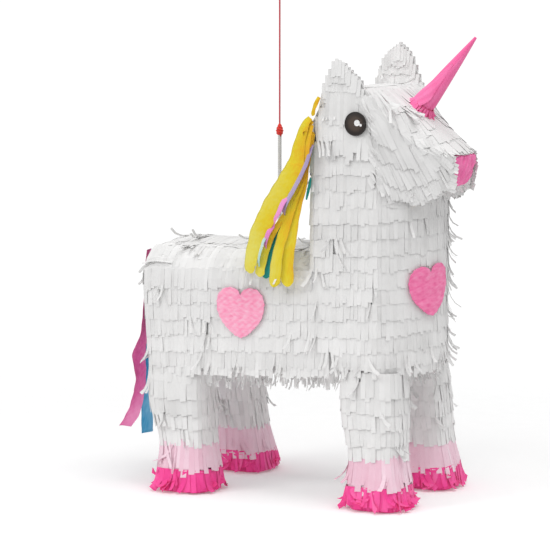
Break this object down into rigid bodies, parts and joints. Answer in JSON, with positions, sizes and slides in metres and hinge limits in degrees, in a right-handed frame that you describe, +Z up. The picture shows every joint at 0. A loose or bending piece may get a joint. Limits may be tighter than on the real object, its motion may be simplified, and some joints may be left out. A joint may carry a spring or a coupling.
{
  "type": "pinata",
  "caption": "Standing cardboard unicorn covered in rows of white crepe fringe, with pink hooves and horn, ribbon mane and tail, a fill flap in the back and a hanging cord.",
  "frame": {"origin": "on the floor under the middle of the object, cord left out", "axes": "+X forward to the horn, +Y to the animal's left, +Z up"},
  "size_m": [0.4439, 0.2186, 0.624],
  "materials": {
    "cardboard": "plain brown board",
    "white_crepe": "matt crepe paper, cut in fringe",
    "ankle_crepe": "thin matt crepe paper",
    "hoof_crepe": "matt crepe paper",
    "horn_crepe": "crepe paper wrapped round a cone",
    "eye_print": "printed, slightly glossy",
    "nose_crepe": "crepe paper",
    "heart_pink": "crepe paper",
    "heart_deep_pink": "crepe paper",
    "mane_yellow": "crepe streamer",
    "mane_pink": "crepe streamer",
    "mane_teal": "crepe streamer",
    "mane_lilac": "crepe streamer",
    "tail_pink": "crepe streamer",
    "tail_blue": "crepe streamer",
    "stick_wood": "bare",
    "hang_cord": "twisted cotton",
    "cord_knot": "wound thread",
    "red_string": "thin string"
  },
  "bodies": {
    "shell": {"side_panel_right": "cardboard", "side_panel_left": "cardboard", "back_panel": "cardboard", "rump_panel": "cardboard", "belly_panel": "cardboard", "chest_panel": "cardboard", "crest_panel": "cardboard", "crown_panel": "cardboard", "forehead_panel": "cardboard", "cheek_panel_right": "cardboard", "cheek_panel_left": "cardboard", "chin_panel": "cardboard", "nose_board": "cardboard", "leg_tube_front_right": "cardboard", "leg_tube_front_left": "cardboard", "leg_tube_rear_right": "cardboard", "leg_tube_rear_left": "cardboard", "sole_front_right": "cardboard", "sole_front_left": "cardboard", "sole_rear_right": "cardboard", "sole_rear_left": "cardboard", "leg_fringe_front_right": "white_crepe", "leg_fringe_front_left": "white_crepe", "leg_fringe_rear_right": "white_crepe", "leg_fringe_rear_left": "white_crepe", "ankle_ruffles": "ankle_crepe", "hoof_front_right": "hoof_crepe", "hoof_front_left": "hoof_crepe", "hoof_rear_right": "hoof_crepe", "hoof_rear_left": "hoof_crepe", "ear_right": "cardboard", "ear_left": "cardboard", "ear_fringe": "white_crepe", "horn_cone": "horn_crepe", "horn_ruffle": "horn_crepe", "eye_right": "eye_print", "eye_left": "eye_print", "nose_cover": "nose_crepe", "heart_right": "heart_pink", "heart_left": "heart_pink", "heart_chest": "heart_deep_pink", "side_fringe_right": "white_crepe", "side_fringe_left": "white_crepe", "back_fringe": "white_crepe", "rump_fringe": "white_crepe", "chest_fringe": "white_crepe", "crest_fringe": "white_crepe", "head_fringe": "white_crepe", "anchor_stick": "stick_wood", "hang_cord": "hang_cord", "cord_knots": "cord_knot", "red_string": "red_string"},
    "mane": {"mane_yellow": "mane_yellow", "mane_pink": "mane_pink", "mane_teal": "mane_teal", "mane_lilac": "mane_lilac"},
    "tail_pink_ribbon": {"tail_pink": "tail_pink"},
    "tail_blue_ribbon": {"tail_blue": "tail_blue"},
    "flap": {"fill_flap": "cardboard", "flap_fringe": "white_crepe"}
  },
  "joints": [
    {"name": "flap_hinge", "type": "hinge", "parent": "shell", "child": "flap", "pos_m": [-0.098, 0.0335, 0.30233], "axis": [-1, 0, 0], "range_deg": [0, 105]},
    {"name": "mane_lift", "type": "hinge", "parent": "shell", "child": "mane", "pos_m": [0.06, -0.0925, 0.455], "axis": [-1, 0, 0], "range_deg": [0, 45]},
    {"name": "tail_pink_swing", "type": "hinge", "parent": "shell", "child": "tail_pink_ribbon", "pos_m": [-0.18, -0.059, 0.286], "axis": [0, 1, 0], "range_deg": [0, 50]},
    {"name": "tail_blue_swing", "type": "hinge", "parent": "shell", "child": "tail_blue_ribbon", "pos_m": [-0.18, -0.034, 0.284], "axis": [0, 1, 0], "range_deg": [0, 50]}
  ]
}
